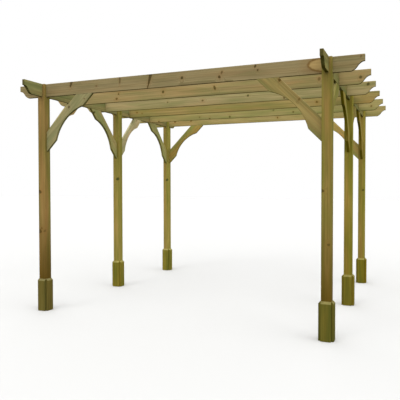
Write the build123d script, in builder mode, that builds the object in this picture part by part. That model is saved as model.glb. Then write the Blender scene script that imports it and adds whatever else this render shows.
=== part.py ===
from build123d import *

import os

# A free-standing garden pergola in planed softwood. Six square posts stand in two rows of three. Two side
# beams run along the rows, and six rafters cross them on half laps, so that their tops are level. Each post
# head is notched both ways to take a beam and a rafter. Arched braces stiffen the corners, and bevelled
# boards trim the foot of every post.
#
# Frame: millimetres, +Z up, origin on the ground at the middle of the plan. X runs along the rafters, from
# left to right. Y runs along the side beams, from front to back.

# Overall size
RAFTER_LENGTH = 3900.0
SIDE_BEAM_LENGTH = 3900.0
HEIGHT = 2620.0

# Sawn sizes of the timber
POST_SIDE = 95.0
POST_ARRIS = 3.0
BEAM_DEPTH = 145.0
BEAM_THICKNESS = 33.0
LAP_DEPTH = BEAM_DEPTH / 2

# Plan layout, between centres
POST_SPAN_X = 3240.0
POST_SPAN_Y = 3220.0
RAFTER_COUNT = 6

# Shaped ends of rafters and side beams: a square nose, a short lip, then an ogee down to the lower edge
NOSE_HEIGHT = 62.0
LIP_LENGTH = 12.0
OGEE_LENGTH = 106.0
OGEE_RADIUS = 100.0

# Arched braces, each cut from a board at 45 degrees
BRACE_OUTER_LEG = 410.0
BRACE_WIDTH = 157.0
BRACE_SCOOP_CHORD = 530.0
BRACE_SCOOP_RISE = 73.0

# Base trims: four boards round the foot of each post, a little narrower than its faces
TRIM_HEIGHT = 370.0
TRIM_THICKNESS = 24.0
TRIM_BEVEL = 22.0
TRIM_BOARD_WIDTH = POST_SIDE - 1.0

# Heights and places that follow
BEAM_UNDERSIDE = HEIGHT - BEAM_DEPTH
LAP_LEVEL = HEIGHT - LAP_DEPTH
BRACE_INNER_LEG = BRACE_OUTER_LEG + BRACE_WIDTH * 2**0.5
RAFTER_SPACING = POST_SPAN_Y / (RAFTER_COUNT - 1)
SIDES = {"left": -POST_SPAN_X / 2, "right": POST_SPAN_X / 2}
ROWS = {"front": -POST_SPAN_Y / 2, "middle": 0.0, "back": POST_SPAN_Y / 2}
RAFTER_ROWS = [ROWS["front"] + index * RAFTER_SPACING for index in range(RAFTER_COUNT)]
UP = Vector(0, 0, 1)

os.makedirs("parts", exist_ok=True)


def save(piece, label):
    """Label a finished piece and write it to its own STEP file."""
    piece.part.label = label
    export_step(piece.part, f"parts/{label}.step")


def upright_plane(origin, along):
    """Return a vertical plane through origin whose X runs along the given way and whose Y is up."""
    return Plane(origin=origin, x_dir=along, z_dir=along.cross(UP))


def make_beam(label, plane, length, lap_places, lap_bottom):
    """Make a rafter or side beam on a plane: ogee ends, and a half lap at each crossing."""
    tip = length / 2
    nose_foot = (tip, HEIGHT - NOSE_HEIGHT)
    lip = (tip - LIP_LENGTH, HEIGHT - NOSE_HEIGHT)
    heel = (lip[0] - OGEE_LENGTH, BEAM_UNDERSIDE)
    middle = ((lip[0] + heel[0]) / 2, (lip[1] + heel[1]) / 2)
    with BuildPart() as beam:
        with BuildSketch(plane):
            with BuildLine():
                Polyline((0, HEIGHT), (tip, HEIGHT), nose_foot, lip)
                RadiusArc(lip, middle, -OGEE_RADIUS)
                RadiusArc(middle, heel, OGEE_RADIUS)
                Line(heel, (0, BEAM_UNDERSIDE))
                mirror(about=Plane.YZ)
            make_face()
        extrude(amount=BEAM_THICKNESS / 2, both=True)
        with BuildSketch(plane):
            with Locations([(place, lap_bottom) for place in lap_places]):
                Rectangle(BEAM_THICKNESS, LAP_DEPTH, align=(Align.CENTER, Align.MIN))
        extrude(amount=BEAM_THICKNESS / 2, both=True, mode=Mode.SUBTRACT)
    save(beam, label)


def make_post(label, x, y):
    """Make a post whose head is slotted both ways, which leaves four prongs round the beams."""
    with BuildPart(Plane(origin=(x, y, 0))) as post:
        Box(POST_SIDE, POST_SIDE, HEIGHT, align=(Align.CENTER, Align.CENTER, Align.MIN))
        fillet(post.edges().filter_by(Axis.Z), POST_ARRIS)
        with BuildSketch(Plane(origin=(x, y, BEAM_UNDERSIDE))):
            Rectangle(POST_SIDE, BEAM_THICKNESS)
            Rectangle(BEAM_THICKNESS, POST_SIDE)
        extrude(amount=BEAM_DEPTH, mode=Mode.SUBTRACT)
    save(post, label)


def make_brace(label, corner, away):
    """Make an arched brace from the inside corner of a post and a beam, reaching out the given way."""
    scoop_middle = BRACE_INNER_LEG / 2
    half_chord = BRACE_SCOOP_CHORD / 2 / 2**0.5
    rise = BRACE_SCOOP_RISE / 2**0.5
    scoop_foot = (scoop_middle - half_chord, -scoop_middle - half_chord)
    scoop_crown = (scoop_middle - rise, -scoop_middle + rise)
    scoop_head = (scoop_middle + half_chord, -scoop_middle + half_chord)
    with BuildPart() as brace:
        with BuildSketch(upright_plane(corner, away)):
            with BuildLine():
                Polyline(scoop_head, (BRACE_INNER_LEG, 0), (BRACE_OUTER_LEG, 0))
                Line((BRACE_OUTER_LEG, 0), (0, -BRACE_OUTER_LEG))
                Polyline((0, -BRACE_OUTER_LEG), (0, -BRACE_INNER_LEG), scoop_foot)
                ThreePointArc(scoop_foot, scoop_crown, scoop_head)
            make_face()
        extrude(amount=BEAM_THICKNESS / 2, both=True)
    save(brace, label)


def make_base_trim(label, x, y):
    """Make the four trim boards of one post, which stand clear of each other at the corners."""
    with BuildPart() as trim:
        for quarter in range(4):
            outward = Vector(1, 0, 0).rotate(Axis.Z, 90 * quarter)
            post_face = Vector(x, y, 0) + outward * (POST_SIDE / 2)
            with BuildSketch(upright_plane(post_face, outward)):
                with BuildLine():
                    Polyline(
                        (0, 0),
                        (TRIM_THICKNESS, 0),
                        (TRIM_THICKNESS, TRIM_HEIGHT - TRIM_BEVEL),
                        (TRIM_THICKNESS - TRIM_BEVEL, TRIM_HEIGHT),
                        (0, TRIM_HEIGHT),
                        close=True,
                    )
                make_face()
            extrude(amount=TRIM_BOARD_WIDTH / 2, both=True)
    save(trim, label)


# Posts and their base trims
for row, y in ROWS.items():
    for side, x in SIDES.items():
        make_post(f"post_{row}_{side}", x, y)
        make_base_trim(f"base_trim_{row}_{side}", x, y)

# Rafters, numbered from the front, lapped from below
for number, y in enumerate(RAFTER_ROWS, start=1):
    rafter_plane = upright_plane(Vector(0, y, 0), Vector(1, 0, 0))
    make_beam(f"rafter_{number}", rafter_plane, RAFTER_LENGTH, list(SIDES.values()), BEAM_UNDERSIDE)

# Side beams, lapped from above
for side, x in SIDES.items():
    side_plane = upright_plane(Vector(x, 0, 0), Vector(0, 1, 0))
    make_beam(f"side_beam_{side}", side_plane, SIDE_BEAM_LENGTH, RAFTER_ROWS, LAP_LEVEL)

# Braces under the first and last rafters, reaching in from the corner posts
for row in ("front", "back"):
    for side, x in SIDES.items():
        inward = Vector(1 if x < 0 else -1, 0, 0)
        corner = Vector(x, ROWS[row], BEAM_UNDERSIDE) + inward * (POST_SIDE / 2)
        make_brace(f"brace_{row}_{side}", corner, inward)

# Braces under the side beams, from every post towards its neighbours in the row
BACKWARD = Vector(0, 1, 0)
SIDE_BRACES = {
    "front": ("front", BACKWARD),
    "middle_front": ("middle", -BACKWARD),
    "middle_back": ("middle", BACKWARD),
    "back": ("back", -BACKWARD),
}
for side, x in SIDES.items():
    for place, (row, toward) in SIDE_BRACES.items():
        corner = Vector(x, ROWS[row], BEAM_UNDERSIDE) + toward * (POST_SIDE / 2)
        make_brace(f"side_brace_{side}_{place}", corner, toward)
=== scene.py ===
"""The looks of a free-standing timber pergola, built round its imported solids.

Every post, rafter, beam and brace is a timber of its own, with eased arrises, its own heart, growth rings
and knots. The foot trims are four boards each. All of them are planed softwood, pressure treated, so one
family of finishes serves them, with its own values for each kind of timber.

Frame: metres, +Z up, the origin on the ground at the middle of the plan, X along the rafters, Y from front
to back.
"""

import itertools
import logging
import math
import random
from collections.abc import Callable
from dataclasses import dataclass, field
from enum import Enum
from functools import partial
from typing import Any

import bmesh
import bpy
from mathutils import Matrix, Vector


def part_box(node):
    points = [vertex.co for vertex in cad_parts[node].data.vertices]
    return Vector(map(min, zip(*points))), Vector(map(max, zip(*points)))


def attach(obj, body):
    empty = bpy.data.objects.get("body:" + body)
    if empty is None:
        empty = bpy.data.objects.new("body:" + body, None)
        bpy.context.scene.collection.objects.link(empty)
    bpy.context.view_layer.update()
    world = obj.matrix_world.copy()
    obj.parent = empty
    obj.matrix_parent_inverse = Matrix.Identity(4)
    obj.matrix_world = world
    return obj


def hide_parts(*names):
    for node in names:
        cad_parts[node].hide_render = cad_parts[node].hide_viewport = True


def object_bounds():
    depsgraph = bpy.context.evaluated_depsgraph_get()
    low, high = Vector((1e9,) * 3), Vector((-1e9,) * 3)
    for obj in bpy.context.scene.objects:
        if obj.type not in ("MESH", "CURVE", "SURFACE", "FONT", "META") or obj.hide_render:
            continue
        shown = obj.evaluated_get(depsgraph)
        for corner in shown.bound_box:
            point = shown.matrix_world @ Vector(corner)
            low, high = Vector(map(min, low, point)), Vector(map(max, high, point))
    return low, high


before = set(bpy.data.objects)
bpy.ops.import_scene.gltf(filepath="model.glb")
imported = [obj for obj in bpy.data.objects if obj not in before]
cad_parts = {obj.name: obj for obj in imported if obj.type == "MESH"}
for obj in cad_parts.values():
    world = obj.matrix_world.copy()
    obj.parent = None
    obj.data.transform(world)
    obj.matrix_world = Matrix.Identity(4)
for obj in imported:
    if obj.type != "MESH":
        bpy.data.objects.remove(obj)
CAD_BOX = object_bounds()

Piece = bpy.types.Object
Mesh = bpy.types.Mesh
Tree = bpy.types.NodeTree
Socket = bpy.types.NodeSocket
Outputs = bpy.types.NodeOutputs
Adder = Callable[..., Outputs]
Point = tuple[float, float]
# The least and the most of something, or its length along the grain and its width across
Span = tuple[float, float]
# Two values of what a finish follows, and what it makes of each
Ramp = tuple[float, float, float, float]
Triple = tuple[float, float, float]

LOG = logging.getLogger("pergola")
BODY = "root"
MM = 0.001
UP = Vector((0, 0, 1))
RIGHT = Vector((1, 0, 0))
BACK = Vector((0, 1, 0))

# Faces within this many degrees of each other are one curved surface.
CURVE_DEGREES = 18.0
# Edges sharper than this are eased, with this many facets to each.
EASED_DEGREES = 30.0
EASED_FACETS = 2
# Less than this counts as nothing.
TINY = 1e-6
# The way to the brightest part of the sky. Faces that look away from it are given painted shade, as more of
# the preservative's olive.
SUNNY_WAY = Vector((0.25, -0.75, 0.62)).normalized()
# The most painted shade a face gets, as a share of the way round from the sun: a face that looks further
# away is no greener for it.
SHADE_LIMIT = 0.55

# The kinds of node that are used most. A range takes a value and a ramp. A mix takes its share at 0 and two
# numbers at 2 and 3, and a mix of colours takes them at 6 and 7 and gives its own at 2.
JOIN = "ShaderNodeCombineXYZ"
MATH = "ShaderNodeMath"
MIX = "ShaderNodeMix"
RANGE = "ShaderNodeMapRange"
SPLIT = "ShaderNodeSeparateXYZ"
STORE = "GeometryNodeStoreNamedAttribute"
VECTOR = "ShaderNodeVectorMath"


class Slot(Enum):
    """The record's material slots, one for each kind of timber."""

    POST = "post_timber"
    RAFTER = "rafter_timber"
    SIDE_BEAM = "side_beam_timber"
    BRACE = "brace_timber"
    TRIM = "trim_timber"


class Lap(Enum):
    """The edge of a crossing timber that its half laps are cut into."""

    LOWER = "lower"
    UPPER = "upper"


def linear(code: str) -> tuple[float, float, float, float]:
    """Turn an sRGB hex colour into the linear colour that shaders take.

    Args:
        code: The colour, as in "#a08c5a".

    Returns:
        Red, green, blue and an alpha of one.
    """
    parts = [int(code[start:start + 2], 16) / 255 for start in (1, 3, 5)]
    red, green, blue = (c / 12.92 if c <= 0.04045 else ((c + 0.055) / 1.055) ** 2.4 for c in parts)
    return red, green, blue, 1.0


def add_node(tree: Tree, kind: str, inputs: dict[Any, Any] | tuple = (), **settings: Any) -> Outputs:
    """Add one node to a tree, set it up, and fill or link its inputs.

    Args:
        tree: The node tree that gets the node.
        kind: The node's type.
        inputs: A value or an output socket for each input, in order, or by name or number.
        settings: The node's own properties.

    Returns:
        The new node's outputs.
    """
    node = tree.nodes.new(kind)
    for name, value in settings.items():
        setattr(node, name, value)
    for key, value in inputs.items() if isinstance(inputs, dict) else enumerate(inputs):
        if isinstance(value, Socket):
            tree.links.new(value, node.inputs[key])
        else:
            node.inputs[key].default_value = value
    return node.outputs


def stand(name: str, data: bpy.types.ID) -> Piece:
    """Put a mesh, lamp or camera into the scene as an object at the origin.

    Args:
        name: The object's name.
        data: What it holds.

    Returns:
        The object.
    """
    piece = bpy.data.objects.new(name, data)
    bpy.context.scene.collection.objects.link(piece)
    return piece


def arc(start: Point, end: Point, radius: float, steps: int) -> list[Point]:
    """Find the points of a round stretch of an outline, without its two ends.

    Args:
        start: Where the arc begins.
        end: Where it ends.
        radius: Its radius. A positive one swells to the left of the way from start to end.
        steps: How many straight facets stand for it.

    Returns:
        The points between the facets, in order.
    """
    first, last = Vector(start), Vector(end)
    chord = last - first
    left = Vector((-chord.y, chord.x)).normalized()
    reach = math.sqrt(radius**2 - (chord.length / 2) ** 2)
    centre = (first + last) / 2 - left * math.copysign(reach, radius)
    turn = -2 * math.copysign(math.asin(chord.length / 2 / abs(radius)), radius)
    spoke = first - centre
    points = []
    for step in range(1, steps):
        angle = turn * step / steps
        cos, sin = math.cos(angle), math.sin(angle)
        points.append((centre.x + spoke.x * cos - spoke.y * sin, centre.y + spoke.x * sin + spoke.y * cos))
    return points


# --- Finishes ----------------------------------------------------------------------------------------------


@dataclass(frozen=True)
class TreatedSoftwood:
    """Pressure-treated redwood pine, planed all round and left bare outdoors.

    The preservative leaves an olive cast that the sun bleaches to straw on the tops, which are also drawn
    lighter as painted highlight, while undersides are darkened as painted shade. Growth rings show as fine
    lines on the faces and as arcs on the ends. Knots are tight, brown and ringed, and the wood round them is
    warm and swirled.

    Every timber carries what the pattern follows, as attributes of its mesh:
        grain: the place in the log, in metres, along the grain and across from the heart.
        batch: a shift that makes each timber a different piece of wood.
        knot: the place beside the nearest branch, from that branch's root.
        branch: the way from the branch's root to where it leaves the timber.
        knot_look: the branch's radius there, and how dark and how stained the knot is.
        tone: how green, how light and how warm the timber is.
        state: how rich its colour is, and how much darker its foot is drawn.
        weather_and_shade: how far a face looks up, for bleached tops with painted highlight and painted
            shade below, how far it is turned from the sun, for painted shade, and how much of it is end
            grain.
    """

    name: str
    # Spring growth, summer growth, preservative, sun-bleached tops with painted highlight, the painted shade
    # of undersides, which a darker foot takes too, warm heartwood and cut ends
    spring: str
    summer: str
    olive: str
    bleached_and_lit: str
    shade_dark: str
    warm: str
    end: str
    # A knot's middle, one that preservative has darkened, and the bark round it
    knot: str = "#50431c"
    stained: str = "#3c401c"
    bark: str = "#553108"
    # The clear wood inside a pale swirl, whose paleness is partly painted light against the shade of the
    # side beam's end, and the line of resin round it
    clear: str = "#bb9c5c"
    resin: str = "#6e4a08"

    # The width of a growth ring. A real one is 3 to 5 mm wide, and it is drawn coarser, so that it shows.
    ring_mm: float = 7.0
    # How far the rings wander from round, and the size of that wander
    wander_mm: float = 16.0
    wander_size_mm: Span = (1100.0, 190.0)
    # How sharply a summer line breaks off, and how strong it is, by chance
    summer_power: float = 3.0
    summer_strength: Ramp = (0.0, 1.0, 0.35, 1.0)
    # How far rings swell round a branch, by how far off it is, both in its radii
    swell: Ramp = (0.0, 5.0, 1.6, 0.0)
    # A branch's width by how far it has grown out, and the least that it has
    taper: Ramp = (0.0, 1.3, 0.35, 1.2)
    branch_least_mm: float = 0.1
    # How ragged a knot's edge is, in metres, and the size of the rags
    ragged: Ramp = (0.3, 0.7, -3.5 * MM, 3.5 * MM)
    ragged_size_mm: Span = (30.0, 18.0)
    # How far away a branch is, in metres, that has no radius
    absent: Ramp = (0.0, MM, 1.0, 0.0)
    # Where a knot's own rings take over, how much finer they are, and where its colour fades in
    knot_rim: Span = (1.05, 0.95)
    knot_fineness: float = 2.5
    knot_edge: Span = (1.3, 0.9)
    # Where the bark lies round a knot, and how much it covers
    bark_ring: Ramp = (0.65, 0.95, 0.0, 0.9)
    # How much of a knot shows by how dark it is, when it is a swirl instead, and how much more that shows
    knot_shown: Ramp = (0.3, 1.0, 0.5, 0.88)
    swirl: Ramp = (0.0, 0.3, 1.0, 0.0)
    swirl_shown: float = 0.35

    # How much warmer the wood is round a knot, by the distance in its radii
    halo: Ramp = (4.0, 0.9, 0.0, 0.4)
    # How much warmer some of the wood is by chance, and the size of such stretches
    drift: Ramp = (0.45, 0.7, 0.0, 0.4)
    drift_size_mm: Span = (900.0, 60.0)
    # How far from its middle the heartwood reaches and over what it ends, how much warmer it is, and how
    # much preservative it turns away
    heart_mm: float = 68.0
    heart_edge_mm: float = 8.0
    heart_warmth: float = 0.3
    heart_proof: float = 0.25
    # The streaks that many rings together leave on a face: how light they are, and their size
    streak: Ramp = (0.3, 0.7, 0.83, 1.17)
    streak_size_mm: Span = (700.0, 16.0)
    # The patches where the preservative is stronger: how much there is, how light they are, and their size
    patch: Ramp = (0.3, 0.7, -0.4, 0.4)
    patch_light: Ramp = (0.3, 0.7, 1.1, 0.9)
    patch_size_mm: Span = (500.0, 70.0)
    # The share of the preservative's colour everywhere, and what a face turned from the sun adds as painted
    # shade
    olive_share: float = 0.25
    shaded_olive: float = 0.45
    # How much of a top is bleached and lit as painted highlight, how much painted shade an underside gets,
    # and how much of an end has the colour of cut wood
    bleach_and_highlight: float = 0.85
    underside_shading: float = 0.95
    end_share: float = 0.75
    # Where a foot starts to be drawn darker, and where it is darkest, in metres above the ground
    foot: Span = (1.15, 0.35)

    # The roughness of soft spring growth and of smooth summer growth, and what a knot takes off
    roughness: Span = (0.86, 0.7)
    knot_polish: float = 0.15
    # Dry, weathered wood hardly shines, so the painted shade on its undersides stays dark.
    sheen: float = 0.04
    # The size of the fibres, which are drawn coarser than real ones so that they show, how far summer lines
    # and knots stand out beside them, and the height of it all
    fibre_size_mm: Span = (60.0, 1.6)
    ring_relief: float = 0.5
    knot_relief: float = 0.6
    relief_strength: float = 0.5
    relief_mm: float = 0.4

    def material(self) -> bpy.types.Material:
        """Build the finish as a Blender material.

        Returns:
            The material, named for the finish.
        """
        made = bpy.data.materials.new(self.name)
        made.use_nodes = True
        tree = made.node_tree
        add = partial(add_node, tree)
        names = ("grain", "batch", "knot", "branch", "knot_look", "tone", "state", "weather_and_shade")
        carried = {name: add("ShaderNodeAttribute", attribute_name=name)["Vector"] for name in names}
        place = add(VECTOR, (carried["grain"], carried["batch"]), operation="ADD")[0]
        distance, knot_size = self._branch(add, carried, place)
        rings, radius = self._rings(add, carried["grain"], place, distance, knot_size)
        knots = add(RANGE, (distance, *self.knot_edge), interpolation_type="SMOOTHSTEP")[0]
        rough = add(RANGE, (rings, 0.0, 1.0, *self.roughness))[0]
        rough = add(MATH, (knots, -self.knot_polish, rough), operation="MULTIPLY_ADD")[0]
        shader = tree.nodes["Principled BSDF"].inputs
        shader["Specular IOR Level"].default_value = self.sheen
        colour = self._colour(add, carried, place, distance, radius, rings, knots)
        tree.links.new(colour, shader["Base Color"])
        tree.links.new(rough, shader["Roughness"])
        tree.links.new(self._relief(add, place, rings, knots), shader["Normal"])
        return made

    def _figure(self, add: Adder, place: Socket, size_mm: Span, detail: float = 2.0) -> Socket:
        """Add a soft figure that is drawn out along the grain.

        Args:
            add: Adds a node to the material.
            place: The place in the log.
            size_mm: How long and how wide its features are.
            detail: How many finer layers it has.

        Returns:
            The figure, from 0 to 1 with its middle at a half.
        """
        length, width = (1 / (size * MM) for size in size_mm)
        squeezed = add(VECTOR, (place, (length, width, width)), operation="MULTIPLY")[0]
        return add("ShaderNodeTexNoise", {"Vector": squeezed, "Scale": 1.0, "Detail": detail})["Fac"]

    def _branch(self, add: Adder, carried: dict[str, Socket], place: Socket) -> tuple[Socket, Socket]:
        """Measure how far a point lies from the middle of the nearest branch.

        Args:
            add: Adds a node to the material.
            carried: What the timber carries.
            place: The place in the log, shifted by the timber's batch.

        Returns:
            The distance in branch radii, and the branch's radius there, in metres.
        """
        point, branch = carried["knot"], carried["branch"]
        radius = add(SPLIT, (carried["knot_look"],))[0]
        out = add(VECTOR, (point, branch), operation="DOT_PRODUCT")["Value"]
        whole = add(VECTOR, (branch, branch), operation="DOT_PRODUCT")["Value"]
        whole = add(MATH, (whole, TINY), operation="MAXIMUM")[0]
        part = add(MATH, (out, whole), operation="DIVIDE")[0]
        # A branch starts at the heart, so nothing lies behind it, and it widens as it grows out.
        part = add(MATH, (part, 0.0), operation="MAXIMUM")[0]
        axis = add(VECTOR, {0: branch, "Scale": part}, operation="SCALE")[0]
        away = add(VECTOR, (point, axis), operation="DISTANCE")["Value"]
        size = add(MATH, (add(RANGE, (part, *self.taper))[0], radius), operation="MULTIPLY")[0]
        size = add(MATH, (size, self.branch_least_mm * MM), operation="MAXIMUM")[0]
        ragged = add(RANGE, (self._figure(add, place, self.ragged_size_mm), *self.ragged))[0]
        for more in (ragged, add(RANGE, (radius, *self.absent))[0]):
            away = add(MATH, (away, more), operation="ADD")[0]
        return add(MATH, (away, size), operation="DIVIDE")[0], size

    def _rings(self, add: Adder, grain: Socket, place: Socket, distance: Socket,
               knot_size: Socket) -> tuple[Socket, Socket]:
        """Draw the growth rings: pale spring growth that darkens to a summer line and breaks off sharply.

        Args:
            add: Adds a node to the material.
            grain: The place in the log, from its heart.
            place: The same, shifted by the timber's batch.
            distance: The distance from the nearest branch, in its radii.
            knot_size: That branch's radius, in metres.

        Returns:
            How much of the summer line shows, and how far from the heart the ring lies, in metres.
        """
        across = add(VECTOR, (grain, (0.0, 1.0, 1.0)), operation="MULTIPLY")[0]
        radius = add(VECTOR, (across,), operation="LENGTH")["Value"]
        bend = self._figure(add, place, self.wander_size_mm)
        wandering = add(MATH, (bend, self.wander_mm * MM, radius), operation="MULTIPLY_ADD")[0]
        # Rings swell outwards round a branch.
        near = add(RANGE, (distance, *self.swell), interpolation_type="SMOOTHSTEP")[0]
        swell = add(MATH, (near, knot_size), operation="MULTIPLY")[0]
        bent = add(MATH, (wandering, swell), operation="SUBTRACT")[0]
        # A knot's own rings circle its middle, and are finer.
        own = add(MATH, (distance, knot_size), operation="MULTIPLY")[0]
        own = add(MATH, (own, self.knot_fineness), operation="MULTIPLY")[0]
        bent = add(MIX, {0: add(RANGE, (distance, *self.knot_rim))[0], 2: bent, 3: own})[0]
        count = add(MATH, (bent, 1 / (self.ring_mm * MM)), operation="MULTIPLY")[0]
        part = add(MATH, (count,), operation="FRACT")[0]
        line = add(MATH, (part, self.summer_power), operation="POWER")[0]
        year = add(MATH, (count,), operation="FLOOR")[0]
        summer = add("ShaderNodeTexWhiteNoise", {"W": year}, noise_dimensions="1D")["Value"]
        strength = add(RANGE, (summer, *self.summer_strength))[0]
        return add(MATH, (line, strength), operation="MULTIPLY")[0], wandering

    def _colour(self, add: Adder, carried: dict[str, Socket], place: Socket, distance: Socket,
                radius: Socket, rings: Socket, knots: Socket) -> Socket:
        """Mix the colours of growth, preservative, knots, weathering, painted highlight and painted shade.

        Args:
            add: Adds a node to the material.
            carried: What the timber carries.
            place: The place in the log, shifted by the timber's batch.
            distance: The distance from the nearest branch, in its radii.
            radius: How far from the heart the ring lies, in metres.
            rings: How much of the summer line shows.
            knots: Where the knots are.

        Returns:
            The finished colour.
        """
        green, light, warmth = add(SPLIT, (carried["tone"],))
        upward, shaded, end_grain = add(SPLIT, (carried["weather_and_shade"],))
        rich, foot_darkening, _ = add(SPLIT, (carried["state"],))
        edge = [(self.heart_mm + step * self.heart_edge_mm) * MM for step in (1, -1)]
        heart = add(RANGE, (radius, *edge))[0]

        # Heartwood and the wood round a knot are warmer.
        warm = add(MATH, (heart, self.heart_warmth, warmth), operation="MULTIPLY_ADD")[0]
        drift = self._figure(add, place, self.drift_size_mm, detail=1.0)
        warm = add(MATH, (add(RANGE, (drift, *self.drift))[0], warm), operation="ADD")[0]
        halo = add(RANGE, (distance, *self.halo), interpolation_type="SMOOTHSTEP")[0]
        warm = add(MATH, (halo, warm), operation="ADD", use_clamp=True)[0]

        # Preservative is patchy and is taken up less by heartwood, and faces turned from the sun get more of
        # its olive as painted shade.
        patches = self._figure(add, place, self.patch_size_mm)
        treated = add(MATH, (add(RANGE, (patches, *self.patch))[0], green), operation="ADD")[0]
        treated = add(MATH, (shaded, self.shaded_olive, treated), operation="MULTIPLY_ADD")[0]
        treated = add(MATH, (treated, self.olive_share), operation="ADD")[0]
        treated = add(MATH, (heart, -self.heart_proof, treated), operation="MULTIPLY_ADD", use_clamp=True)[0]

        # Tops bleach and get painted highlight, undersides get painted shade, and a foot is drawn darker
        # towards the ground.
        bleached_and_lit = add(MATH, (upward, self.bleach_and_highlight), operation="MULTIPLY", use_clamp=True)[0]
        under = add(MATH, (upward, -self.underside_shading), operation="MULTIPLY", use_clamp=True)[0]
        cut = add(MATH, (end_grain, self.end_share), operation="MULTIPLY")[0]
        height = add(SPLIT, (add("ShaderNodeTexCoord")["Object"],))[2]
        foot = add(MATH, (add(RANGE, (height, *self.foot))[0], foot_darkening), operation="MULTIPLY")[0]

        # A knot that isn't dark at all is a swirl: clear wood inside a line of resin.
        _, dark, stain = add(SPLIT, (carried["knot_look"],))
        swirl = add(RANGE, (dark, *self.swirl))[0]
        layers = []
        for plain, pale in ((self.knot, self.clear), (self.bark, self.resin)):
            part = add(MIX, {0: stain, 6: linear(plain), 7: linear(self.stained)}, data_type="RGBA")[2]
            layers.append(add(MIX, {0: swirl, 6: part, 7: linear(pale)}, data_type="RGBA")[2])
        ring = add(RANGE, (distance, *self.bark_ring), interpolation_type="SMOOTHSTEP")[0]
        knot = add(MIX, {0: ring, 6: layers[0], 7: layers[1]}, data_type="RGBA")[2]
        shown = add(RANGE, (dark, *self.knot_shown))[0]
        shown = add(MATH, (swirl, self.swirl_shown, shown), operation="MULTIPLY_ADD")[0]
        shown = add(MATH, (knots, shown), operation="MULTIPLY")[0]

        # Each coat lies over the ones before it.
        colour = linear(self.spring)
        for share, coat in (
            (rings, linear(self.summer)), (warm, linear(self.warm)), (treated, linear(self.olive)),
            (bleached_and_lit, linear(self.bleached_and_lit)), (under, linear(self.shade_dark)), (cut, linear(self.end)),
            (shown, knot), (foot, linear(self.shade_dark)),
        ):
            colour = add(MIX, {0: share, 6: colour, 7: coat}, data_type="RGBA")[2]

        streaks = self._figure(add, place, self.streak_size_mm, detail=3.0)
        value = add(MATH, (add(RANGE, (streaks, *self.streak))[0], light), operation="MULTIPLY")[0]
        value = add(MATH, (value, add(RANGE, (patches, *self.patch_light))[0]), operation="MULTIPLY")[0]
        return add("ShaderNodeHueSaturation", {"Saturation": rich, "Value": value, "Color": colour})[0]

    def _relief(self, add: Adder, place: Socket, rings: Socket, knots: Socket) -> Socket:
        """Raise the summer lines and knots a little, and add the planed surface's fibres.

        Args:
            add: Adds a node to the material.
            place: The place in the log, shifted by the timber's batch.
            rings: How much of the summer line shows.
            knots: Where the knots are.

        Returns:
            The bumped normal.
        """
        raised = self._figure(add, place, self.fibre_size_mm)
        for where, height in ((rings, self.ring_relief), (knots, self.knot_relief)):
            raised = add(MATH, (where, height, raised), operation="MULTIPLY_ADD")[0]
        settings = {"Height": raised, "Strength": self.relief_strength, "Distance": self.relief_mm * MM}
        return add("ShaderNodeBump", settings)[0]


# --- Timber ------------------------------------------------------------------------------------------------


@dataclass(frozen=True)
class Knot:
    """A knot, where one branch of the tree crosses a timber."""

    # Where it leaves the timber: along it from the timber's own origin, in metres
    along: float
    # The same, through the thickness and across the width
    out: Point
    radius: float
    # How dark its middle is, and how much preservative it took up, from 0 to 1
    dark: float = 0.8
    stain: float = 0.0
    # Where the branch starts in the log, if the log bends there, and how far it leans forward as it grows
    root: Point | None = None
    lean: float = 0.3

    @property
    def place(self) -> Vector:
        """Where it leaves the timber, on the bench."""
        return Vector((self.along, *self.out))


@dataclass(frozen=True)
class Choice:
    """What is chosen about one timber. The rest is drawn by chance."""

    # How green, how light and how warm it is
    tone: Triple
    # How rich its colour is, and how much darker its foot is drawn
    rich: float = 1.0
    foot_darkening: float = 0.0
    # The log's heart from the bench's X axis, in metres
    heart: Point | None = None
    knots: tuple[Knot, ...] = ()


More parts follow.
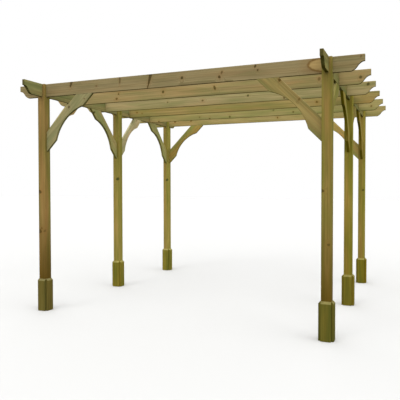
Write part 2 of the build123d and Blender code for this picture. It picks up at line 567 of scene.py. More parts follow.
@dataclass
class Timber:
    """One length of wood on the bench: X along the grain, Y through its thickness, Z across its width."""

    name: str
    # From the bench to its place in the pergola
    place: Matrix
    # The log's heart, in metres from the bench's X axis, and how fast it drifts along the length
    heart: Point
    drift: Point
    knots: list[Knot]
    tone: Triple
    batch: Triple
    # How rich its colour is, and how much darker its foot is drawn
    state: tuple[float, float] = (1.0, 0.0)
    arris: float = 2 * MM

    def cut(self, outline: list[Point], thickness: float) -> Piece:
        """Saw the timber to an outline in its XZ plane.

        Args:
            outline: The corners and the points of round stretches, in order.
            thickness: The board's thickness.

        Returns:
            The sawn piece, on the bench.
        """
        form = bmesh.new()
        near = [form.verts.new((x, -thickness / 2, z)) for x, z in outline]
        far = [form.verts.new((x, thickness / 2, z)) for x, z in outline]
        form.faces.new(near)
        form.faces.new(far[::-1])
        for index in range(len(outline)):
            after = (index + 1) % len(outline)
            form.faces.new((near[index], far[index], far[after], near[after]))
        return self._lay_out(form)

    def cut_slotted(self, length: float, side: float, slot_width: float, slot_depth: float) -> Piece:
        """Saw a square post whose head is slotted both ways, which leaves four prongs.

        Args:
            length: The post's length, slots included.
            side: The width of its faces.
            slot_width: The width of each slot.
            slot_depth: How far the slots reach down from the top.

        Returns:
            The sawn piece, on the bench, with its foot at X = 0.
        """
        stations = (-side / 2, -slot_width / 2, slot_width / 2, side / 2)
        levels = (0.0, length - slot_depth, length)
        # The shaft is three by three cells in section, and the head keeps the four corner ones.
        filled = {
            (layer, row, column)
            for layer in range(2) for row in range(3) for column in range(3)
            if layer == 0 or 1 not in (row, column)
        }
        form = bmesh.new()
        corners: dict[tuple[int, int, int], bmesh.types.BMVert] = {}
        for cell, axis, step in itertools.product(sorted(filled), range(3), (-1, 1)):
            beside = tuple(cell[k] + step * (k == axis) for k in range(3))
            if beside in filled:
                continue
            ring = []
            for square in ((0, 0), (1, 0), (1, 1), (0, 1)):
                offset = (*square[:axis], int(step > 0), *square[axis:])
                key = tuple(cell[k] + offset[k] for k in range(3))
                if key not in corners:
                    corners[key] = form.verts.new((levels[key[0]], stations[key[1]], stations[key[2]]))
                ring.append(corners[key])
            form.faces.new(ring)
        return self._lay_out(form)

    def _lay_out(self, form: bmesh.types.BMesh) -> Piece:
        """Turn a sawn form into an object whose faces all look outwards.

        Args:
            form: The form, which is used up.

        Returns:
            The object, linked to the scene.
        """
        bmesh.ops.recalc_face_normals(form, faces=form.faces[:])
        mesh = bpy.data.meshes.new(self.name)
        form.to_mesh(mesh)
        form.free()
        return stand(self.name, mesh)

    def work(self, piece: Piece) -> None:
        """Ease the arrises, lay the grain into the piece, and set it in its place.

        Args:
            piece: The sawn piece, still on the bench.
        """
        ease(piece, self.arris)
        self._part_at_knots(piece.data)
        self._lay_grain(piece.data)
        piece.data.transform(self.place)
        weather_and_shade(piece.data, self.place.col[0].to_3d())

    def _part_at_knots(self, mesh: Mesh) -> None:
        """Cut the faces half-way between knots, so that each part knows the knot that is nearest.

        Args:
            mesh: The piece's mesh, on the bench.
        """
        form = bmesh.new()
        form.from_mesh(mesh)
        for before, after in zip(self.knots, self.knots[1:]):
            everything = form.verts[:] + form.edges[:] + form.faces[:]
            middle, way = (before.place + after.place) / 2, after.place - before.place
            bmesh.ops.bisect_plane(form, geom=everything, dist=TINY, plane_co=middle, plane_no=way)
        form.to_mesh(mesh)
        form.free()

    def _lay_grain(self, mesh: Mesh) -> None:
        """Write the attributes that the finish follows.

        Args:
            mesh: The piece's mesh, on the bench.
        """
        grain = mesh.attributes.new("grain", "FLOAT_VECTOR", "POINT")
        for entry, vertex in zip(grain.data, mesh.vertices):
            x, y, z = vertex.co
            entry.vector = (x, y - self.heart[0] - self.drift[0] * x, z - self.heart[1] - self.drift[1] * x)
        names = ("knot", "branch", "knot_look")
        layers = [mesh.attributes.new(name, "FLOAT_VECTOR", "CORNER") for name in names]
        for face in mesh.polygons if self.knots else ():
            knot = min(self.knots, key=lambda each: (each.place - face.center).length)
            start = knot.root or [self.heart[k] + self.drift[k] * knot.along for k in range(2)]
            outward = Vector((0.0, knot.out[0] - start[0], knot.out[1] - start[1]))
            branch = outward + Vector((knot.lean * outward.length, 0.0, 0.0))
            root, look = knot.place - branch, (knot.radius, knot.dark, knot.stain)
            for loop in face.loop_indices:
                corner = mesh.vertices[mesh.loops[loop].vertex_index].co
                for layer, value in zip(layers, (corner - root, branch, look)):
                    layer.data[loop].vector = value
        for name, value in (("tone", self.tone), ("batch", self.batch), ("state", (*self.state, 0.0))):
            layer = mesh.attributes.new(name, "FLOAT_VECTOR", "POINT")
            layer.data.foreach_set("vector", list(value) * len(mesh.vertices))


def settle(piece: Piece) -> None:
    """Turn what a piece's modifiers make of it into its mesh.

    Args:
        piece: The piece, which is left without modifiers.
    """
    evaluated = piece.evaluated_get(bpy.context.evaluated_depsgraph_get())
    settled = bpy.data.meshes.new_from_object(evaluated)
    piece.modifiers.clear()
    piece.data = settled


def ease(piece: Piece, arris: float) -> None:
    """Round a piece's arrises, as a planer's easing knife does.

    Args:
        piece: The piece.
        arris: The width of the eased edge.
    """
    bevel = piece.modifiers.new("ease", "BEVEL")
    bevel.width = arris
    bevel.segments = EASED_FACETS
    bevel.limit_method = "ANGLE"
    bevel.angle_limit = math.radians(EASED_DEGREES)
    bevel.use_clamp_overlap = True
    settle(piece)


def weather_and_shade(mesh: Mesh, grain: Vector) -> None:
    """Write how each face lies to the sky and the grain, with its painted shade, and smooth what is round.

    Args:
        mesh: A mesh that is in its place.
        grain: The way that the grain runs.
    """
    layer = mesh.attributes.new("weather_and_shade", "FLOAT_VECTOR", "CORNER")
    for face in mesh.polygons:
        # A face's painted shade: how far it looks away from the sun, up to a limit.
        shaded = min(0.5 - 0.5 * face.normal.dot(SUNNY_WAY), SHADE_LIMIT)
        for loop in face.loop_indices:
            layer.data[loop].vector = (face.normal.z, shaded, face.normal.dot(grain)**2)
    mesh.shade_smooth()
    mesh.set_sharp_from_angle(angle=math.radians(CURVE_DEGREES))


def fit(piece: Piece, material: bpy.types.Material, node: str) -> None:
    """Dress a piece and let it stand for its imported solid.

    Args:
        piece: The piece, in its place.
        material: Its finish.
        node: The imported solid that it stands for.
    """
    piece.data.materials.clear()
    piece.data.materials.append(material)
    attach(piece, BODY)
    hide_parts(node)


@dataclass
class Yard:
    """The stack of wood that timbers are picked from, the same each time."""

    choices: dict[str, Choice]
    seed: int = 31
    # Where the first row of knots may lie, and how far apart rows are, in metres
    first_whorl: Span = (0.05, 0.52)
    whorl_gap: Span = (0.28, 0.52)
    # How far from the heart a branch is measured, its radius there, and how dark and stained its knot is
    branch_reach: float = 80 * MM
    knot_radius: Span = (7 * MM, 15 * MM)
    knot_dark: Span = (0.3, 1.0)
    knot_stain: Span = (0.0, 0.8)
    # How fast the heart may drift, either way
    drift: float = 0.012
    # How green, how light and how warm a timber may be, and how far a batch is shifted each way
    tones: tuple[Span, Span, Span] = ((-0.2, 0.2), (0.94, 1.06), (0.0, 0.25))
    batches: tuple[Span, Span, Span] = ((0.0, 40.0),) * 3
    chance: random.Random = field(init=False)

    def __post_init__(self) -> None:
        """Start the draws."""
        self.chance = random.Random(self.seed)

    def rows(self, start: float, end: float, heart: Point) -> list[Knot]:
        """Draw the rows of knots of one timber.

        Args:
            start: Where the timber starts along its grain.
            end: Where it ends.
            heart: Where the log's heart is.

        Returns:
            One knot for each row, from start to end.
        """
        draw = self.chance.uniform
        rows = []
        along = start + draw(*self.first_whorl)
        while along < end:
            angle = draw(0, math.tau)
            cos, sin = math.cos(angle), math.sin(angle)
            out = (heart[0] + self.branch_reach * cos, heart[1] + self.branch_reach * sin)
            dark, stain = draw(*self.knot_dark), draw(*self.knot_stain)
            rows.append(Knot(along, out, draw(*self.knot_radius), dark, stain))
            along += draw(*self.whorl_gap)
        return rows

    def pick(self, node: str, place: Matrix, start: float, end: float, heart: Point, spread: Span) -> Timber:
        """Pick a timber for a node.

        Args:
            node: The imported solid's name.
            place: From the bench to the timber's place.
            start: Where it starts along its grain.
            end: Where it ends.
            heart: Where the log's heart usually lies from the timber's middle.
            spread: How far from there it may lie, through the thickness and across the width.

        Returns:
            The timber, unsawn.
        """
        draw = self.chance.uniform
        drawn = (heart[0] + draw(-spread[0], spread[0]), heart[1] + draw(-spread[1], spread[1]))
        timber = Timber(
            name=f"{node}_timber",
            place=place,
            heart=drawn,
            drift=(draw(-self.drift, self.drift), draw(-self.drift, self.drift)),
            knots=self.rows(start, end, drawn),
            tone=tuple(draw(*span) for span in self.tones),
            batch=tuple(draw(*span) for span in self.batches),
        )
        choice = self.choices.get(node)
        if choice:
            timber.tone = choice.tone
            timber.state = (choice.rich, choice.foot_darkening)
            timber.knots = list(choice.knots) or timber.knots
            if choice.heart:
                timber.heart = choice.heart
                timber.drift = (0.0, 0.0)
        return timber


# --- Sub-assemblies ----------------------------------------------------------------------------------------


def bench(origin: Vector, along: Vector, width: Vector) -> Matrix:
    """Return the matrix that carries a timber from the bench to its place.

    Args:
        origin: Where the bench's origin goes.
        along: Where its X, the grain, goes.
        width: Where its Z goes.

    Returns:
        The matrix.
    """
    through = width.cross(along)
    return Matrix.Translation(origin) @ Matrix((along, through, width)).transposed().to_4x4()


@dataclass
class ShapedBeams:
    """Rafters or side beams: boards on edge, with an ogee at each end and a half lap at each crossing."""

    nodes: list[str]
    along: Vector
    lap: Lap
    lap_places: list[float]
    slot: Slot
    finish: TreatedSoftwood
    nose_height: float = 62 * MM
    lip_length: float = 12 * MM
    ogee_length: float = 106 * MM
    ogee_radius: float = 100 * MM
    arc_steps: int = 8
    # How far a log's heart may lie from the middle, through the thickness and across the width
    heart_spread: Span = (60 * MM, 70 * MM)

    def outline(self, length: float, depth: float, lap_width: float) -> list[Point]:
        """Draw a beam's side, with the middle of its length at 0 and its upper edge at Z = 0.

        Args:
            length: Its length.
            depth: Its depth.
            lap_width: The thickness of the beams that cross it.

        Returns:
            The outline's points, counter-clockwise.
        """
        tip = length / 2
        lip = (tip - self.lip_length, -self.nose_height)
        heel = (lip[0] - self.ogee_length, -depth)
        middle = ((lip[0] + heel[0]) / 2, (lip[1] + heel[1]) / 2)
        right = [(tip, 0.0), (tip, -self.nose_height), lip]
        right += arc(lip, middle, -self.ogee_radius, self.arc_steps) + [middle]
        right += arc(middle, heel, self.ogee_radius, self.arc_steps) + [heel]
        left = [(-x, z) for x, z in right]
        edge = -depth if self.lap is Lap.LOWER else 0.0
        laps = []
        for place in sorted(self.lap_places):
            near, far = place - lap_width / 2, place + lap_width / 2
            laps += [(near, edge), (near, -depth / 2), (far, -depth / 2), (far, edge)]
        if self.lap is Lap.LOWER:
            return left + laps + right[::-1]
        return left + right[::-1] + laps[::-1]

    def build(self, yard: Yard) -> list[Piece]:
        """Saw, work and dress every beam.

        Args:
            yard: Where the timbers come from.

        Returns:
            The beams.
        """
        material = self.finish.material()
        made = []
        for node in self.nodes:
            low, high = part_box(node)
            size = high - low
            length = size.dot(self.along)
            thickness = size.x + size.y - length
            middle = (low + high) / 2
            place = bench(Vector((middle.x, middle.y, high.z)), self.along, UP)
            timber = yard.pick(node, place, -length / 2, length / 2, (0.0, -size.z / 2), self.heart_spread)
            piece = timber.cut(self.outline(length, size.z, thickness), thickness)
            timber.work(piece)
            fit(piece, material, node)
            made.append(piece)
        return made


@dataclass
class Posts:
    """Square posts whose heads are slotted both ways to take a side beam and a rafter."""

    nodes: list[str]
    slot_width: float
    slot_depth: float
    finish: TreatedSoftwood
    arris: float = 3 * MM
    heart_spread: Span = (30 * MM, 30 * MM)

    def build(self, yard: Yard) -> list[Piece]:
        """Saw, work and dress every post.

        Args:
            yard: Where the timbers come from.

        Returns:
            The posts.
        """
        material = self.finish.material()
        made = []
        for node in self.nodes:
            low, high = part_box(node)
            middle = (low + high) / 2
            place = bench(Vector((middle.x, middle.y, low.z)), UP, RIGHT)
            length = high.z - low.z
            timber = yard.pick(node, place, 0.0, length, (0.0, 0.0), self.heart_spread)
            timber.arris = self.arris
            piece = timber.cut_slotted(length, high.x - low.x, self.slot_width, self.slot_depth)
            timber.work(piece)
            fit(piece, material, node)
            made.append(piece)
        return made


@dataclass
class ArchedBraces:
    """Knee braces cut from a board at 45 degrees, with a scoop in their lower edge."""

    # For each node, the way that it reaches out from its post
    reaches: dict[str, Vector]
    finish: TreatedSoftwood
    board_width: float = 157 * MM
    scoop_chord: float = 530 * MM
    scoop_rise: float = 73 * MM
    arris: float = 4 * MM
    arc_steps: int = 20
    heart_spread: Span = (60 * MM, 70 * MM)

    def outline(self, inner: float, outer: float) -> list[Point]:
        """Draw a brace's side on the bench, with its outer edge at Z = 0 and its scooped edge below.

        Args:
            inner: Half of the length of its scooped edge.
            outer: Half of the length of its outer edge.

        Returns:
            The outline's points, counter-clockwise.
        """
        half = self.scoop_chord / 2
        radius = (half**2 + self.scoop_rise**2) / (2 * self.scoop_rise)
        low = -self.board_width
        scoop = arc((-half, low), (half, low), radius, self.arc_steps)
        return [(-outer, 0.0), (-inner, low), (-half, low), *scoop, (half, low), (inner, low), (outer, 0.0)]

    def build(self, yard: Yard) -> list[Piece]:
        """Saw, work and dress every brace.

        Args:
            yard: Where the timbers come from.

        Returns:
            The braces.
        """
        material = self.finish.material()
        made = []
        for node, away in self.reaches.items():
            low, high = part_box(node)
            size, middle = high - low, (low + high) / 2
            leg = size.z
            corner = Vector((middle.x, middle.y, high.z)) - away * (leg / 2)
            thickness = size.x + size.y - leg
            along, width = (away + UP).normalized(), (UP - away).normalized()
            inner = leg / math.sqrt(2)
            outer = inner - self.board_width
            place = bench(corner - width * outer, along, width)
            usual_heart = (0.0, -self.board_width / 2)
            timber = yard.pick(node, place, -inner, inner, usual_heart, self.heart_spread)
            timber.arris = self.arris
            piece = timber.cut(self.outline(inner, outer), thickness)
            timber.work(piece)
            fit(piece, material, node)
            made.append(piece)
        return made


@dataclass
class BaseTrims:
    """Boards with bevelled tops round the foot of each post, set out and nailed one to each face."""

    # For each node, the post that it goes round
    posts: dict[str, str]
    finish: TreatedSoftwood
    bevel: float = 22 * MM
    board_gap: float = 1 * MM
    arris: float = 1.5 * MM
    boards: int = 4
    # How far the log's heart lies behind the middle of a board
    heart_depth: float = 60 * MM
    seed: int = 7
    # The least and the most of a board's batch and of its tone, and its state
    batches: tuple[Triple, Triple] = ((0.0, 0.0, 0.0), (40.0, 40.0, 40.0))
    tones: tuple[Triple, Triple] = ((-0.15, 0.92, 0.0), (0.2, 1.08, 0.2))
    state: Triple = (1.0, 0.0, 0.0)
    # How far the batches of one trim's boards are shifted from those of the trim before
    trim_shift: Triple = (3.1, 1.7, 2.3)

    def tree(self) -> Tree:
        """Build the rule for one post's trim: shape a board, then set one on each face of the post.

        Returns:
            The Geometry Nodes tree, with its sizes as named inputs. Its middle is the trim's.
        """
        tree = bpy.data.node_groups.new("trim_boards", "GeometryNodeTree")
        lengths = dict.fromkeys(("Thickness", "Width", "Height", "Bevel", "Post side"), "Float")
        for name, kind in (lengths | {"Finish": "Material"}).items():
            tree.interface.new_socket(name, in_out="INPUT", socket_type=f"NodeSocket{kind}")
        tree.interface.new_socket("Boards", in_out="OUTPUT", socket_type="NodeSocketGeometry")
        add = partial(add_node, tree)
        given = add("NodeGroupInput")

        # A box with a row of points between its foot and its top: that row moves to the foot of the bevel,
        # and the outer top edge draws in.
        size = add(JOIN, (given["Thickness"], given["Width"], given["Height"]))[0]
        board = add("GeometryNodeMeshCube", {"Size": size, "Vertices Z": 3})["Mesh"]
        position = add("GeometryNodeInputPosition")[0]
        x, y, z = add(SPLIT, (position,))
        half_height = add(MATH, (given["Height"], 0.5), operation="MULTIPLY")[0]
        near_top = add(MATH, (half_height, MM), operation="SUBTRACT")[0]
        is_middle = add("FunctionNodeCompare", {0: z, 1: 0.0, "Epsilon": MM}, operation="EQUAL")[0]
        is_top = add("FunctionNodeCompare", (z, near_top), operation="GREATER_THAN")[0]
        is_outer = add("FunctionNodeCompare", (x, 0.0), operation="GREATER_THAN")[0]
        is_lip = add("FunctionNodeBooleanMath", (is_top, is_outer), operation="AND")[0]
        rise = add(MATH, (half_height, given["Bevel"]), operation="SUBTRACT")[0]
        inward = add(MATH, (given["Bevel"], -1.0), operation="MULTIPLY")[0]
        for chosen, offset in ((is_middle, {2: rise}), (is_lip, {0: inward})):
            move = {"Geometry": board, "Selection": chosen, "Offset": add(JOIN, offset)[0]}
            board = add("GeometryNodeSetPosition", move)[0]

        # The grain runs up the board, and the heart lies well behind its face. The boards stand one on each
        # face of the post: the points of a circle, each board turned with its point, and each its own wood.
        behind = add(MATH, (x, self.heart_depth), operation="ADD")[0]
        board = add(STORE, {"Geometry": board, "Name": "grain", "Value": add(JOIN, (z, behind, y))[0]},
                    data_type="FLOAT_VECTOR", domain="POINT")[0]
        half_post = add(MATH, (given["Post side"], 0.5), operation="MULTIPLY")[0]
        reach = add(MATH, (given["Thickness"], 0.5, half_post), operation="MULTIPLY_ADD")[0]
        faces = add("GeometryNodeMeshCircle", {"Vertices": self.boards, "Radius": reach})[0]
        turn = add("FunctionNodeAlignRotationToVector", {"Vector": position}, axis="X", pivot_axis="Z")[0]
        ring = add("GeometryNodeInstanceOnPoints", {"Points": faces, "Instance": board, "Rotation": turn})[0]
        values = {}
        for step, (name, (least, most)) in enumerate((("batch", self.batches), ("tone", self.tones))):
            ends = {"Min": least, "Max": most, "Seed": self.seed + step}
            values[name] = add("FunctionNodeRandomValue", ends, data_type="FLOAT_VECTOR")[0]
        values["state"] = add(JOIN, self.state)[0]
        for name, value in values.items():
            ring = add(STORE, {"Geometry": ring, "Name": name, "Value": value},
                       data_type="FLOAT_VECTOR", domain="INSTANCE")[0]

        ring = add("GeometryNodeRealizeInstances", (ring,))[0]
        ring = add("GeometryNodeSetMaterial", {0: ring, "Material": given["Finish"]})[0]
        add("NodeGroupOutput", (ring,))
        return tree

    def build(self, yard: Yard) -> list[Piece]:
        """Set the boards round every post.

        Args:
            yard: Where the choices about some trims are kept. They go on top of each board's own tone.

        Returns:
            The trims, each with its four boards.
        """
        tree = self.tree()
        material = self.finish.material()
        made = []
        inputs = [item for item in tree.interface.items_tree if item.in_out == "INPUT"]
        sockets = {item.name: item.identifier for item in inputs}
        for number, (node, post) in enumerate(self.posts.items()):
            low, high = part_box(node)
            post_low, post_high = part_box(post)
            side = post_high.x - post_low.x
            piece = stand(f"{node}_boards", bpy.data.meshes.new(node))
            rule = piece.modifiers.new("boards", "NODES")
            rule.node_group = tree
            sizes = {"Thickness": (high.x - low.x - side) / 2, "Width": side - self.board_gap,
                     "Height": high.z - low.z, "Bevel": self.bevel, "Post side": side, "Finish": material}
            for name, value in sizes.items():
                rule[sockets[name]] = value
            settle(piece)
            piece.data.transform(Matrix.Translation((low + high) / 2))
            ease(piece, self.arris)
            self._sort(piece.data, number, yard.choices.get(node))
            weather_and_shade(piece.data, UP)
            fit(piece, material, node)
            made.append(piece)
        return made

    def _sort(self, mesh: Mesh, number: int, choice: Choice | None) -> None:
        """Give one trim's boards a wood and a tone of their own.

        Args:
            mesh: The boards.
            number: How many trims came before.
            choice: What is chosen about this one.
        """
        for entry in mesh.attributes["batch"].data:
            entry.vector = entry.vector + Vector([number * step for step in self.trim_shift])
        if choice is None:
            return
        for entry in mesh.attributes["tone"].data:
            green, light, warm = entry.vector
            entry.vector = (green + choice.tone[0], light * choice.tone[1], warm + choice.tone[2])
        for entry in mesh.attributes["state"].data:
            entry.vector = (choice.rich, choice.foot_darkening, 0.0)


# --- Studio ------------------------------------------------------------------------------------------------


@dataclass(frozen=True)
class Lamp:
    """A broad lamp, far away."""

    name: str
    # The way to it
    way: Triple
    power: float
    # How many degrees of the sky it fills
    spread: float = 60.0

    def hang(self) -> None:
        """Hang the lamp."""
        data = bpy.data.lights.new(self.name, "SUN")
        data.energy = self.power
        data.angle = math.radians(self.spread)
        lamp = stand(self.name, data)
        lamp.matrix_world = Vector(self.way).to_track_quat("Z", "Y").to_matrix().to_4x4()


@dataclass
class Studio:
    """A pale floor under an even sky, with broad soft lamps in front, to the right and behind."""

    camera_place: Triple = (2.395, -6.527, 1.419)
    # Degrees to the left of straight on, up from level, and of roll
    yaw: float = 22.66
    pitch: float = -1.31
    roll: float = -0.09
    lens_mm: float = 46.97
    sensor_mm: float = 36.0
    sight: float = 200.0
    floor_reach: float = 60.0
    floor_gap: float = 0.5 * MM
    floor_colour: str = "#d3d3d2"
    # What the floor throws back at the timber, as a lawn or paving would
    floor_bounce: str = "#77746a"
    # How strong the sky's light is near the ground and overhead
    sky: Span = (0.85, 1.1)
    lamps: tuple[Lamp, ...] = (
        Lamp("key", (-0.05, -0.78, 0.62), 1.5),
        Lamp("fill", (0.9, -0.25, 0.35), 1.4),
        Lamp("back", (-0.6, 0.7, 0.4), 0.7),
    )

    def set_camera(self) -> None:
        """Set up the camera."""
        data = bpy.data.cameras.new("view")
        data.sensor_width = self.sensor_mm
        data.lens = self.lens_mm
        data.clip_end = self.sight
        camera = stand("view", data)
        turn = Matrix.Rotation(math.radians(self.yaw), 4, "Z")
        tip = Matrix.Rotation(math.radians(90 + self.pitch), 4, "X")
        roll = Matrix.Rotation(math.radians(self.roll), 4, "Z")
        camera.matrix_world = Matrix.Translation(self.camera_place) @ turn @ tip @ roll
        bpy.context.scene.camera = camera

    def seen(self, tree: Tree) -> Socket:
        """Tell rays that show a surface to the eye from those that light the timber.

        Args:
            tree: The nodes of a material or the world.

        Returns:
            1 for camera, glossy and transmission rays, and 0 for the others.
        """
        rays = add_node(tree, "ShaderNodeLightPath")
        either = add_node(tree, MATH, (rays["Is Camera Ray"], rays["Is Glossy Ray"]), operation="MAXIMUM")[0]
        return add_node(tree, MATH, (either, rays["Is Transmission Ray"]), operation="MAXIMUM")[0]

    def lay_floor(self) -> None:
        """Lay the floor, in a matt finish that shows pale and throws back a darker light."""
        form = bmesh.new()
        bmesh.ops.create_grid(form, x_segments=1, y_segments=1, size=self.floor_reach)
        mesh = bpy.data.meshes.new("floor")
        form.to_mesh(mesh)
        form.free()
        mesh.transform(Matrix.Translation((0, 0, CAD_BOX[0].z - self.floor_gap)))
        floor = stand("floor", mesh)
        made = bpy.data.materials.new("matt_floor")
        made.use_nodes = True
        tree = made.node_tree
        shader = tree.nodes["Principled BSDF"].inputs
        shader["Roughness"].default_value = 1.0
        shader["Specular IOR Level"].default_value = 0.0
        colours = {0: self.seen(tree), 6: linear(self.floor_bounce), 7: linear(self.floor_colour)}
        tree.links.new(add_node(tree, MIX, colours, data_type="RGBA")[2], shader["Base Color"])
        mesh.materials.append(made)

    def light_sky(self) -> None:
        """Light the world evenly, a little more from above, with a white background."""
        world = bpy.data.worlds.new("sky")
        world.use_nodes = True
        bpy.context.scene.world = world
        tree = world.node_tree
        direction = add_node(tree, "ShaderNodeTexCoord")["Generated"]
        height = add_node(tree, SPLIT, (direction,))[2]
        strength = add_node(tree, RANGE, (height, 0.0, 1.0, *self.sky))[0]
        light, white = (
            add_node(tree, "ShaderNodeBackground", {"Color": (1, 1, 1, 1), "Strength": power})[0]
            for power in (strength, 1.0)
        )
        shown = add_node(tree, "ShaderNodeMixShader", (self.seen(tree), light, white))[0]
        tree.links.new(shown, tree.nodes["World Output"].inputs["Surface"])

    def build(self) -> None:
        """Set up the camera, floor, sky and lamps, and show colours as they are written."""
        self.set_camera()
        self.lay_floor()
        self.light_sky()
        for lamp in self.lamps:
            lamp.hang()
        bpy.context.scene.view_settings.view_transform = "Standard"


# --- Its own finishes and timbers --------------------------------------------------------------------------

# The rafters are bleached to straw on top, with painted highlight, and darkened below by painted shade.
RAFTER_FINISH = TreatedSoftwood(
    "planed_treated_softwood_rafters", spring="#9c8c60", summer="#786b42", olive="#868650",
    bleached_and_lit="#a3966e", shade_dark="#463900", warm="#96794a", end="#55502a")
# The side beams keep more of the preservative's green.
SIDE_BEAM_FINISH = TreatedSoftwood(
    "planed_treated_softwood_side_beams", spring="#928858", summer="#6e6639", olive="#727646",
    bleached_and_lit="#9c946c", shade_dark="#4c4608", warm="#917648", end="#464220")
# The posts have the heart inside them, so the middle of each face is warm and its edges are olive.
POST_FINISH = TreatedSoftwood(
    "planed_treated_softwood_posts", spring="#947f48", summer="#705e2e", olive="#7a7530", bleached_and_lit="#a89868",
    shade_dark="#5e4810", warm="#92713c", end="#5a5026", heart_mm=62, heart_warmth=0.45, heart_proof=0.5,
    shaded_olive=0.7, olive_share=0.3)
# The braces are paler, and their scoops are darkened by painted shade.
BRACE_FINISH = TreatedSoftwood(
    "planed_treated_softwood_braces", spring="#988a58", summer="#74673b", olive="#80824e",
    bleached_and_lit="#aaa172", shade_dark="#585408", warm="#947448", end="#504c24")
# The trims are the darkest. Their end grain is their bevelled tops, so its pale colour is partly painted
# highlight from above.
TRIM_FINISH = TreatedSoftwood(
    "planed_treated_softwood_trims", spring="#736a33", summer="#534a1e", olive="#5b5e2a", bleached_and_lit="#988f61",
    shade_dark="#443c14", warm="#73602a", end="#8a8350")

# Half of a board's thickness and of a post's side, in metres, which is where knots come out
HALF_BOARD = 0.0165
HALF_POST = 0.0475
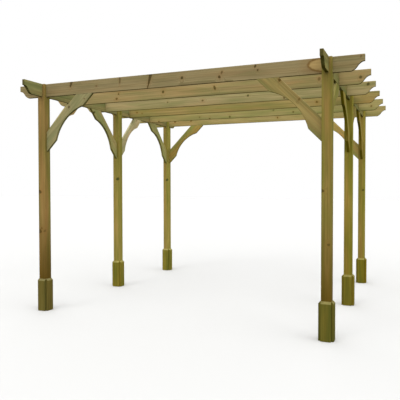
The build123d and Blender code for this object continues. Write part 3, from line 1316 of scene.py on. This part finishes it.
# The timbers that show most, by the names of the solids that they stand for. Each has a tone, and may have a
# richness, a darker foot, a heart and knots. The lightness in some tones is raised above the wood's own, as
# painted light that undoes the shade which falls on those timbers under the roof. A knot has its place along
# and across, its radius, how dark and how stained it is, and where its branch starts and how far it leans.
# All lengths are in metres.
CHOICES = {
    "rafter_1": Choice((-0.37, 0.75, 0.05), 0.94, 0.0, (0.075, -0.135), (
        Knot(-1.225, (-HALF_BOARD, -0.026), 0.013, 0.9, 0.2, (0.010, -0.110)),
        Knot(-0.889, (-HALF_BOARD, -0.073), 0.008, 0.3),
        Knot(-0.590, (-HALF_BOARD, -0.040), 0.008, 0.5, 0.0, (-0.004, -0.125), 0.05),
        Knot(-0.218, (-HALF_BOARD, -0.020), 0.015, 1.0, 0.1, (-0.012, -0.158), 0.25),
        Knot(0.148, (-HALF_BOARD, -0.070), 0.012, 1.0, 0.4),
        Knot(0.558, (-HALF_BOARD, -0.094), 0.012, 1.0, 0.1, (0.030, -0.070)),
        Knot(0.585, (-HALF_BOARD, -0.050), 0.008, 0.6), Knot(0.932, (-HALF_BOARD, -0.020), 0.009, 1.0, 0.3),
        Knot(0.956, (-HALF_BOARD, -0.059), 0.008, 0.8, 0.3),
        Knot(1.545, (-HALF_BOARD, -0.064), 0.062, 0.0, 0.0, (0.060, -0.050), 2.3),
        Knot(1.640, (HALF_BOARD, -0.020), 0.006), Knot(1.915, (-HALF_BOARD, -0.020), 0.006, 0.4))),
    "rafter_2": Choice((-0.19, 0.96, 0.2), 1.00, 0.0, (0.075, -0.120), (
        Knot(-1.026, (-HALF_BOARD, -0.105), 0.012, 0.8, 0.2),
        Knot(-1.000, (-HALF_BOARD, -0.045), 0.009, 0.7, 0.4),
        Knot(-0.391, (-HALF_BOARD, -0.066), 0.013, 0.9, 0.5),
        Knot(0.260, (-HALF_BOARD, -0.062), 0.013, 0.9, 0.4, (0.020, -0.020)),
        Knot(0.900, (HALF_BOARD, -0.060), 0.012), Knot(1.432, (-HALF_BOARD, -0.062), 0.012, 0.5),
        Knot(1.850, (-HALF_BOARD, -0.075), 0.012, 0.8, 0.6))),
    "rafter_3": Choice((-0.01, 1.04, 0.0), 0.95, 0.0, (0.060, -0.080), (
        Knot(-0.647, (-HALF_BOARD, -0.073), 0.009, 0.5, 1.0),
        Knot(-0.152, (-HALF_BOARD, -0.083), 0.013, 0.8, 0.3),
        Knot(0.454, (-HALF_BOARD, -0.062), 0.011, 0.8, 1.0), Knot(0.905, (-HALF_BOARD, -0.117), 0.012, 0.6),
        Knot(1.867, (-HALF_BOARD, -0.031), 0.014, 0.9, 0.7))),
    "rafter_4": Choice((0.01, 0.94, 0.2), 1.09, 0.0, (0.060, -0.070), (
        Knot(-1.471, (-HALF_BOARD, -0.076), 0.010, 0.5, 0.1),
        Knot(-1.387, (-HALF_BOARD, -0.097), 0.008, 0.4), Knot(-0.650, (HALF_BOARD, -0.130), 0.010, 0.6, 0.4),
        Knot(0.250, (-HALF_BOARD, -0.020), 0.009, 0.6, 0.2),
        Knot(1.180, (-HALF_BOARD, -0.090), 0.012, 0.7, 0.2), Knot(1.760, (HALF_BOARD, -0.040), 0.012))),
    "rafter_5": Choice((0.19, 1.05, 0.0), 1.03, 0.0, (0.055, -0.085), (
        Knot(-1.437, (-HALF_BOARD, -0.136), 0.011, 0.8, 0.5),
        Knot(-0.731, (-HALF_BOARD, -0.103), 0.010, 0.5, 1.0),
        Knot(-0.563, (-HALF_BOARD, -0.138), 0.012, 0.8, 0.4),
        Knot(-0.237, (-HALF_BOARD, -0.124), 0.013, 0.7, 0.6),
        Knot(0.439, (-HALF_BOARD, -0.067), 0.011, 0.4, 1.0),
        Knot(0.731, (-HALF_BOARD, -0.106), 0.012, 0.6, 0.3), Knot(1.300, (HALF_BOARD, -0.050), 0.012),
        Knot(1.800, (-HALF_BOARD, -0.090), 0.010, 0.7))),
    "rafter_6": Choice((-0.04, 1.07, 0.1), 1.05, 0.0, (0.060, -0.080), (
        Knot(-1.765, (-HALF_BOARD, -0.035), 0.012, 1.0), Knot(-1.458, (-HALF_BOARD, -0.068), 0.012, 1.0),
        Knot(-1.158, (-HALF_BOARD, -0.066), 0.012, 1.0), Knot(-0.200, (HALF_BOARD, -0.050), 0.014),
        Knot(0.336, (-HALF_BOARD, -0.088), 0.011, 0.9), Knot(1.500, (HALF_BOARD, -0.050), 0.014))),
    "side_beam_left": Choice((0.26, 0.92, 0.0), 0.99),
    "side_beam_right": Choice((0.21, 0.73, 0.0), 1.06),
    "post_front_left": Choice((0.24, 0.83, 0.1), 0.97, 1.0, (0.026, 0.008), (
        Knot(0.922, (HALF_POST, -0.033), 0.020, 1.0, 0.0), Knot(0.955, (HALF_POST, -0.004), 0.010, 0.5, 0.0),
        Knot(0.926, (HALF_POST, 0.038), 0.012, 0.5, 0.2), Knot(1.378, (HALF_POST, -0.030), 0.017, 1.0),
        Knot(1.800, (-HALF_POST, 0.000), 0.014))),
    "post_front_right": Choice((0.56, 0.83, -0.05), 0.99, 0.9, (0.008, 0.008), (
        Knot(0.895, (HALF_POST, 0.020), 0.010, 0.6, 0.8), Knot(1.390, (HALF_POST, -0.040), 0.013, 0.9, 0.3),
        Knot(1.900, (-HALF_POST, 0.000), 0.014))),
    "post_middle_left": Choice((0.32, 1.19, 0.0), 0.98, 0.1, (-0.005, -0.020), (
        Knot(0.900, (-HALF_POST, 0.010), 0.012), Knot(1.551, (HALF_POST, 0.024), 0.018, 1.0, 1.0))),
    "post_middle_right": Choice((0.58, 1.01, -0.1), 1.05, 0.25, (0.000, -0.010), (
        Knot(0.700, (-HALF_POST, 0.020), 0.012), Knot(1.500, (-HALF_POST, -0.010), 0.013))),
    "post_back_left": Choice((0.37, 1.30, 0.0), 0.98, 0.15, (0.000, -0.015), (
        Knot(0.950, (-HALF_POST, 0.010), 0.012), Knot(1.559, (HALF_POST, 0.022), 0.018, 1.0, 1.0))),
    "post_back_right": Choice((0.56, 1.07, -0.05), 1.03, 0.25, (0.000, -0.010), (
        Knot(0.800, (-HALF_POST, 0.010), 0.012), Knot(1.386, (HALF_POST, 0.022), 0.013, 0.9, 0.8))),
    "brace_front_left": Choice((0.14, 0.96, -0.05), 0.86, 0.0, (0.060, -0.070), (
        Knot(0.127, (-HALF_BOARD, -0.030), 0.012, 0.9, 0.2),
        Knot(0.330, (-HALF_BOARD, -0.120), 0.006, 0.5))),
    "brace_front_right": Choice((-0.04, 0.82, 0.15), 1.04, 0.0, (-0.060, -0.070), (
        Knot(-0.020, (-HALF_BOARD, -0.040), 0.007, 0.4),
        Knot(0.262, (HALF_BOARD, -0.014), 0.012, 0.9, 0.1))),
    "brace_back_left": Choice((0.19, 1.19, 0.1), 1.13),
    "brace_back_right": Choice((0.28, 1.57, 0.15), 1.08),
    "side_brace_left_front": Choice((-0.1, 1.2, 0.0)),
    "side_brace_left_middle_front": Choice((0.39, 1.18, 0.0), 0.98),
    "side_brace_left_middle_back": Choice((0.27, 1.49, -0.2), 0.80),
    "side_brace_left_back": Choice((0.28, 1.33, 0.0), 0.98),
    "side_brace_right_front": Choice((0.54, 0.76, 0.0), 1.18),
    "side_brace_right_middle_front": Choice((-0.06, 0.86, 0.0), 1.20),
    "side_brace_right_middle_back": Choice((-0.22, 0.71, 0.0), 1.20),
    "side_brace_right_back": Choice((0.03, 0.86, 0.0), 1.20),
    "base_trim_front_left": Choice((-0.30, 0.66, 0.1), 0.99),
    "base_trim_front_right": Choice((0.13, 0.73, -0.1), 1.06),
    "base_trim_middle_left": Choice((-0.03, 1.11, 0.0), 1.09),
    "base_trim_middle_right": Choice((-0.19, 0.92, 0.0), 1.10),
    "base_trim_back_left": Choice((0.20, 1.19, 0.0), 1.08),
    "base_trim_back_right": Choice((0.08, 0.95, 0.0), 1.12),
}


def main() -> None:
    """Build the pergola part by part, report each piece, and set up the studio round it."""
    logging.basicConfig(level=logging.INFO, format="%(name)s: %(message)s")
    yard = Yard(CHOICES)
    sides, rows = ("left", "right"), ("front", "middle", "back")
    rafters = sorted(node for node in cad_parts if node.startswith("rafter_"))
    beams = [f"side_beam_{side}" for side in sides]
    posts = [f"post_{row}_{side}" for row in rows for side in sides]
    trims = {node.replace("post", "base_trim"): node for node in posts}
    across = [sum(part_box(node), Vector()).x / 2 for node in beams]
    along = [sum(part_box(node), Vector()).y / 2 for node in rafters]
    beam_low, beam_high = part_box(beams[0])
    beam_width, beam_depth = beam_high.x - beam_low.x, beam_high.z - beam_low.z

    # Where each brace reaches: those under the rafters inward, and those under the side beams along them
    inward = {"left": RIGHT, "right": -RIGHT}
    toward = {"front": BACK, "middle_front": -BACK, "middle_back": BACK, "back": -BACK}
    reaches = {f"brace_{row}_{side}": inward[side] for row in ("front", "back") for side in sides}
    reaches |= {f"side_brace_{side}_{place}": way for side in sides for place, way in toward.items()}

    parts = {
        "rafters": ShapedBeams(rafters, RIGHT, Lap.LOWER, across, Slot.RAFTER, RAFTER_FINISH),
        "side beams": ShapedBeams(beams, BACK, Lap.UPPER, along, Slot.SIDE_BEAM, SIDE_BEAM_FINISH),
        "posts": Posts(posts, beam_width, beam_depth, POST_FINISH),
        "braces": ArchedBraces(reaches, BRACE_FINISH),
        "base trims": BaseTrims(trims, TRIM_FINISH),
    }
    for name, part in parts.items():
        for piece in part.build(yard):
            LOG.info("%s: %s has %d faces", name, piece.name, len(piece.data.polygons))
    Studio().build()


if __name__ == "__main__":
    main()
